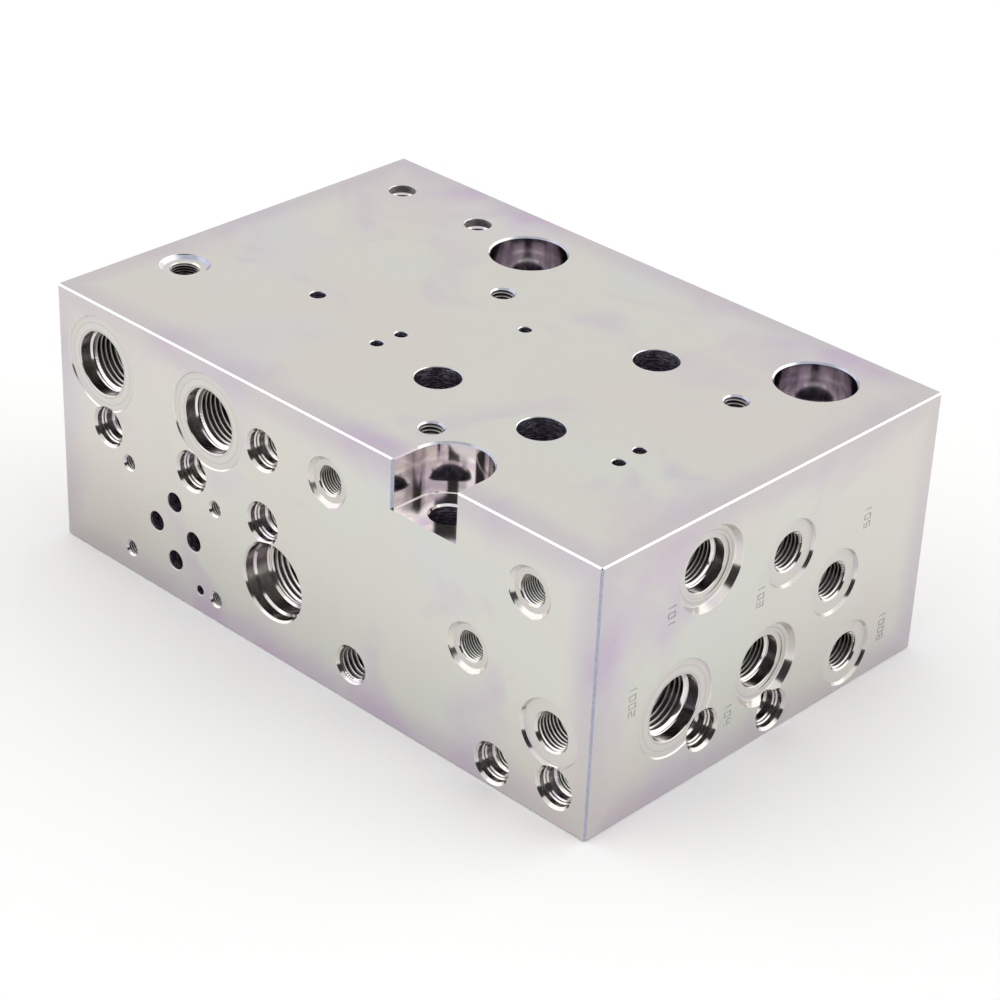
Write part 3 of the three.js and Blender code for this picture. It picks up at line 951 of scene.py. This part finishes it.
def turned_steel(
    name, roughness, colours, across_marks, mark_scale, mark_strength, painted_shade_colour=None, walls=False
):
    """Steel turned on a lathe or bored: fine rings at a radius, or along a depth.

    One given a shade colour takes on that darker colour as painted shade where it looks down, and
    over most of an upright bore: everywhere, or only on its straight walls.
    """
    material, nodes, shader, place = metal(name, roughness, SATIN if across_marks else 1.0)
    radius, depth, axis = bore_places(nodes, place)
    along = radius if across_marks else depth
    rings = nodes.noise(along, mark_scale, detail=3, roughness=0.65, dimensions="1D")
    bands = nodes.noise(along, mark_scale * 0.09, detail=1, dimensions="1D")
    cloudy = nodes.noise(place, 160, detail=2, distortion=0.4)
    light, warm, cool = colours
    colour = nodes.mix(nodes.spread(bands, 0.38, 0.64), light, warm)
    colour = nodes.mix(nodes.spread(cloudy, 0.45, 0.7, 0.0, 0.6), colour, cool)
    if across_marks:
        lines = nodes.noise(nodes.math("ADD", along, 3.7), 1300, detail=0, dimensions="1D")
        colour = nodes.mix(nodes.spread(lines, 0.66, 0.74, 0.0, 0.4), colour, (0.34, 0.32, 0.33))
    # painted shade: the shade colour goes where a face looks down, where it would reflect the dark
    if painted_shade_colour:
        normal = nodes.normal()
        _, _, z = nodes.split(normal)
        looks_up = nodes.spread(z, 0.0, 0.38)
        upright = nodes.math("ABSOLUTE", nodes.vector("DOT_PRODUCT", (0, 0, 1), axis, output="Value"))
        painted_light_share = nodes.math("MULTIPLY", looks_up, nodes.math("MULTIPLY_ADD", upright, -0.75, 1.0))
        if walls:
            slope = nodes.math("ABSOLUTE", nodes.vector("DOT_PRODUCT", normal, axis, output="Value"))
            painted_light_share = nodes.math("MAXIMUM", painted_light_share, nodes.spread(slope, 0.15, 0.4))
        colour = nodes.mix(painted_light_share, painted_shade_colour, colour)
    nodes.put(shader.inputs["Base Color"], colour)
    nodes.put(shader.inputs["Normal"], nodes.bump(rings, mark_strength, 0.00001))
    return material


FEED_MARK_STRETCH = 5.0  # how much longer a drill's marks are around a hole than along it


def drilled_steel():
    material, nodes, shader, place = metal("drilled_steel", 0.34)
    _, depth, axis = bore_places(nodes, place)
    lift = nodes.add("ShaderNodeVectorMath", operation="SCALE")
    nodes.put(lift.inputs[0], axis)
    nodes.put(lift.inputs["Scale"], nodes.math("MULTIPLY", depth, FEED_MARK_STRETCH))
    dashes = nodes.noise(nodes.vector("ADD", place, lift.outputs[0]), 480, detail=3, roughness=0.65)
    rings = nodes.noise(depth, 2300, detail=2, dimensions="1D")
    marks = nodes.spread(nodes.math("MULTIPLY_ADD", rings, 0.35, dashes), 0.69, 0.80)
    # the dark base colour is painted shade of the deep drillings; the light dashes and rings are drill
    # marks
    nodes.put(shader.inputs["Base Color"], nodes.mix(marks, (0.16, 0.145, 0.20), (0.66, 0.62, 0.66)))
    nodes.put(shader.inputs["Normal"], nodes.bump(dashes, 0.9, 0.0003))
    return material


def block_materials():
    """In the order of the face kinds."""
    pale = ((0.665, 0.645, 0.602), (0.640, 0.615, 0.570), (0.648, 0.610, 0.630))
    bright = ((0.88, 0.87, 0.83), (0.67, 0.64, 0.595), (0.63, 0.57, 0.68))
    warm = ((0.77, 0.74, 0.71), (0.60, 0.54, 0.55), (0.56, 0.50, 0.64))
    # painted shade: a darker, bluer copy of the polished colours, for the closed counterbores
    violet_painted_shade = ((0.70, 0.665, 0.675), (0.52, 0.475, 0.50), (0.49, 0.43, 0.55))
    # plating colours, with near-black blotches that are painted dark reflection
    blotched_plating_and_painted_reflection = ((0.62, 0.58, 0.55), (0.55, 0.49, 0.44), (0.05, 0.05, 0.10))
    # painted highlight: near-white thread crests
    crest_painted_highlight = ((0.98, 0.96, 0.91), (0.93, 0.90, 0.84), (0.94, 0.93, 0.95))
    flank = ((0.86, 0.85, 0.82), (0.70, 0.67, 0.62), (0.74, 0.70, 0.78))
    # painted shade: near-black grooves of the small threads
    dull = ((0.17, 0.165, 0.16), (0.10, 0.095, 0.09), (0.16, 0.14, 0.18))
    return [
        plated_steel(),
        edge_steel(),
        # where a turned steel has a last colour, it is the painted shade colour for faces that look
        # down
        turned_steel("turned_floor_steel", 0.37, pale, True, 3200, 0.35),
        turned_steel("turned_wall_steel", 0.14, bright, False, 5200, 0.12, (0.42, 0.355, 0.39), True),
        turned_steel("polished_bore_steel", 0.10, warm, False, 2400, 0.10),
        turned_steel("bored_painted_shade_steel", 0.12, violet_painted_shade, False, 2400, 0.10),
        turned_steel("reamed_steel", 0.20, blotched_plating_and_painted_reflection, True, 3200, 0.10),
        turned_steel("thread_crest_painted_highlight_steel", 0.33, crest_painted_highlight, False, 9000, 0.10, (0.50, 0.48, 0.44)),
        turned_steel("thread_flank_steel", 0.24, flank, False, 9000, 0.15, (0.14, 0.13, 0.12)),
        turned_steel("painted_shade_flank_steel", 0.30, dull, False, 9000, 0.15),
        drilled_steel(),
    ]


# ---------------------------------------------------------------- the pieces


def finish_piece(piece, slot, *nodes):
    piece.data.transform(Matrix.Scale(MM, 4))
    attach(piece, "root")
    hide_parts(*nodes)


def add_block():
    block = machined_block()
    block.data.materials.clear()  # the cuts leave an empty slot
    for material in block_materials():
        block.data.materials.append(material)
    sort_faces(block.data)
    mark_sharp_edges(block.data)
    finish_piece(block, "plated_steel", "manifold_block")


SLEEVE_FLOOR = 2.0
SLEEVE_BORE_SHARE = 0.7  # of the sleeve's outer radius
SLEEVE_GROOVE_DEPTH, SLEEVE_GROOVE_PITCH = 0.12, 0.8
BALL_SHARE = 0.7  # of the sleeve's outer radius
SLEEVE_SIDES, BALL_SIDES = 48, 40


def simple_steel(name, base, roughness, mark_scale):
    material, nodes, shader, place = metal(name, roughness)
    marks = nodes.noise(place, mark_scale, detail=3, distortion=0.4)
    darker = tuple(0.82 * part for part in base)
    nodes.put(shader.inputs["Base Color"], nodes.mix(nodes.spread(marks, 0.3, 0.7), base, darker))
    nodes.put(shader.inputs["Roughness"], nodes.spread(marks, 0.3, 0.7, roughness, roughness * 1.25))
    nodes.put(shader.inputs["Normal"], nodes.bump(marks, 0.06, 0.00002))
    return material


def turned_piece(name, points, sides, place):
    """A piece of revolution in the object's frame, its faces turned outwards."""
    piece = object_of(name, turned(points, sides).moved(place))
    face_outwards(piece.data)
    return piece


def face_outwards(mesh):
    made = bmesh.new()
    made.from_mesh(mesh)
    bmesh.ops.recalc_face_normals(made, faces=made.faces)
    made.to_mesh(mesh)
    made.free()


def sleeve_outline(outer, length):
    """The cup of an expander plug, from its deep end round its outer rim to its inner floor."""
    inner = outer * SLEEVE_BORE_SHARE
    points = [(outer - 0.4, length), (outer, length - 0.4)]
    groove, pitch = SLEEVE_GROOVE_DEPTH, SLEEVE_GROOVE_PITCH
    depth = length - 1.2
    while depth > 1.6:  # fine grooves that bite into the bore
        points += [(outer, depth), (outer - groove, depth - pitch / 4), (outer, depth - pitch / 2)]
        depth -= pitch
    floor = length - SLEEVE_FLOOR
    points += [(outer, 0.3), (outer - 0.15, 0.05), (outer - 0.3, 0), (inner + 0.6, 0)]
    return [*points, (inner + 0.45, 0.06), (inner, 1.2), (inner, floor - 0.2), (inner - 0.2, floor)]


def ball_outline(radius, centre):
    """A ball with the small flat dimple that the setting punch leaves on its outer side."""
    dimple = math.radians(17)
    low = [(TIP_RADIUS, centre - radius * math.cos(dimple) + 0.1)]
    angles = [dimple + (math.pi - dimple - 0.03) * step / 22 for step in range(23)]
    return low + [(radius * math.sin(a), centre - radius * math.cos(a)) for a in angles]


def add_expander_plugs():
    hardened = simple_steel("case_hardened_steel", (0.42, 0.42, 0.43), 0.34, 700)
    bright = simple_steel("bearing_steel", (0.80, 0.81, 0.83), 0.10, 300)
    for index, (face, across, down, radius, _) in enumerate(GALLERIES):
        outer = radius + SEAT_STEP - FIT_GAP
        length = plug_length(radius)
        place = placed_on(face, across, down) @ Matrix.Translation((0, 0, PLUG_RECESS))
        sleeve_node = f"expander_sleeve_{index + 1}"
        outline = sleeve_outline(outer, length)
        sleeve = turned_piece(f"{sleeve_node}_turned", outline, SLEEVE_SIDES, place)
        ball_radius = outer * BALL_SHARE - FIT_GAP
        centre = length - SLEEVE_FLOOR - FIT_GAP - ball_radius
        ball_node = f"expander_ball_{index + 1}"
        outline = ball_outline(ball_radius, centre)
        ball = turned_piece(f"{ball_node}_round", outline, BALL_SIDES, place)
        sleeve.data.materials.append(hardened)
        ball.data.materials.append(bright)
        mark_sharp_edges(sleeve.data)
        mark_sharp_edges(ball.data)
        finish_piece(sleeve, "hardened_steel", sleeve_node)
        finish_piece(ball, "bearing_steel", ball_node)


ORIFICE_LENGTH = 7
ORIFICE_BORE = 0.6
ORIFICE_THREAD = (5.0, 6.15, 1.0)  # minor diameter, major diameter, pitch
ORIFICE_END = 0.05  # left plain at each end of the thread
SOCKET_CORNER = 1.6
SOCKET_DEPTH = 3
ORIFICES = [(95.05, 20.2, 30), (95.05, 45, 30), (204.3, 19.1, 24)]  # across, down, depth


def add_orifices():
    """Grub screws with a hexagon socket and a fine bore, in the front drillings."""
    blacked = simple_steel("blacked_steel", (0.085, 0.085, 0.09), 0.42, 900)
    angles = [math.pi / 3 * step for step in range(6)]
    corners = [(SOCKET_CORNER * math.cos(angle), SOCKET_CORNER * math.sin(angle)) for angle in angles]
    socket = prism(corners, -1, SOCKET_DEPTH)
    bore = turned([(ORIFICE_BORE, SOCKET_DEPTH - 1), (ORIFICE_BORE, ORIFICE_LENGTH + 1)], 24)
    for index, (across, down, depth) in enumerate(ORIFICES):
        place = placed_on("front", across, down) @ Matrix.Translation((0, 0, depth))
        screw = thread_cutter(*ORIFICE_THREAD, ORIFICE_END, ORIFICE_LENGTH - ORIFICE_END)
        piece = object_of(f"damping_orifice_{index + 1}_screw", screw.moved(place))
        cut(piece, [socket.moved(place), bore.moved(place)])
        piece.data.materials.clear()
        piece.data.materials.append(blacked)
        mark_sharp_edges(piece.data)
        finish_piece(piece, "blacked_steel", f"damping_orifice_{index + 1}")


add_block()
add_expander_plugs()
add_orifices()


# ---------------------------------------------------------------- floor and light

FLOOR_SIZE = 8.0
FLOOR_GAP = 0.0002  # keeps it clear of the block's foot
FLOOR_COLOUR = (0.95, 0.95, 0.945)
STUDIO_BRIGHTNESS = 0.875
DARK_AZIMUTH = math.radians(52)  # of the dark opening in the tent
DARK_ELEVATION = math.radians(18)
DARK_RADIUS = math.radians(28)
DARK_SOFTNESS = math.radians(5)
DARK_SHADE = 0.05


def add_floor():
    bpy.ops.mesh.primitive_plane_add(size=FLOOR_SIZE, location=(0, 0, -FLOOR_GAP))
    floor = bpy.context.object
    floor.name = "floor"
    material = bpy.data.materials.new("floor_paper")
    material.use_nodes = True
    shader = material.node_tree.nodes["Principled BSDF"]
    shader.inputs["Base Color"].default_value = (*FLOOR_COLOUR, 1)
    shader.inputs["Roughness"].default_value = 0.9
    shader.inputs["Specular IOR Level"].default_value = 0.1
    floor.data.materials.append(material)


def add_studio():
    """A white tent, brighter overhead and at its sides, with a dark opening."""
    world = bpy.data.worlds.new("studio")
    bpy.context.scene.world = world
    world.use_nodes = True
    nodes = Nodes(world.node_tree)
    backdrop = world.node_tree.nodes["Background"]
    direction = nodes.add("ShaderNodeTexCoord").outputs["Generated"]
    _, _, height = nodes.split(direction)
    overhead = nodes.spread(height, 0.35, 0.95)
    light = nodes.math("MULTIPLY_ADD", overhead, 0.25, 0.97)
    sideways = Vector((math.cos(CAMERA_AZIMUTH), math.sin(CAMERA_AZIMUTH), 0))
    aside = nodes.vector("DOT_PRODUCT", direction, tuple(sideways), output="Value")
    aside = nodes.math("ABSOLUTE", aside)
    panels = nodes.spread(aside, 0.52, 0.66, 0.0, 0.75)
    light = nodes.math("ADD", light, panels)
    level = math.cos(DARK_ELEVATION)
    centre = (
        level * math.sin(DARK_AZIMUTH), -level * math.cos(DARK_AZIMUTH), math.sin(DARK_ELEVATION)
    )
    towards = nodes.vector("DOT_PRODUCT", direction, centre, output="Value")
    inside = nodes.spread(towards, math.cos(DARK_RADIUS + DARK_SOFTNESS), math.cos(DARK_RADIUS))
    light = nodes.math("MULTIPLY", light, nodes.spread(inside, 0.0, 1.0, 1.0, DARK_SHADE, smooth=False))
    nodes.put(backdrop.inputs["Strength"], nodes.math("MULTIPLY", light, STUDIO_BRIGHTNESS))
    nodes.put(backdrop.inputs["Color"], (1.0, 1.0, 1.0, 1.0))


add_floor()
add_studio()
bpy.context.scene.view_settings.view_transform = "Standard"
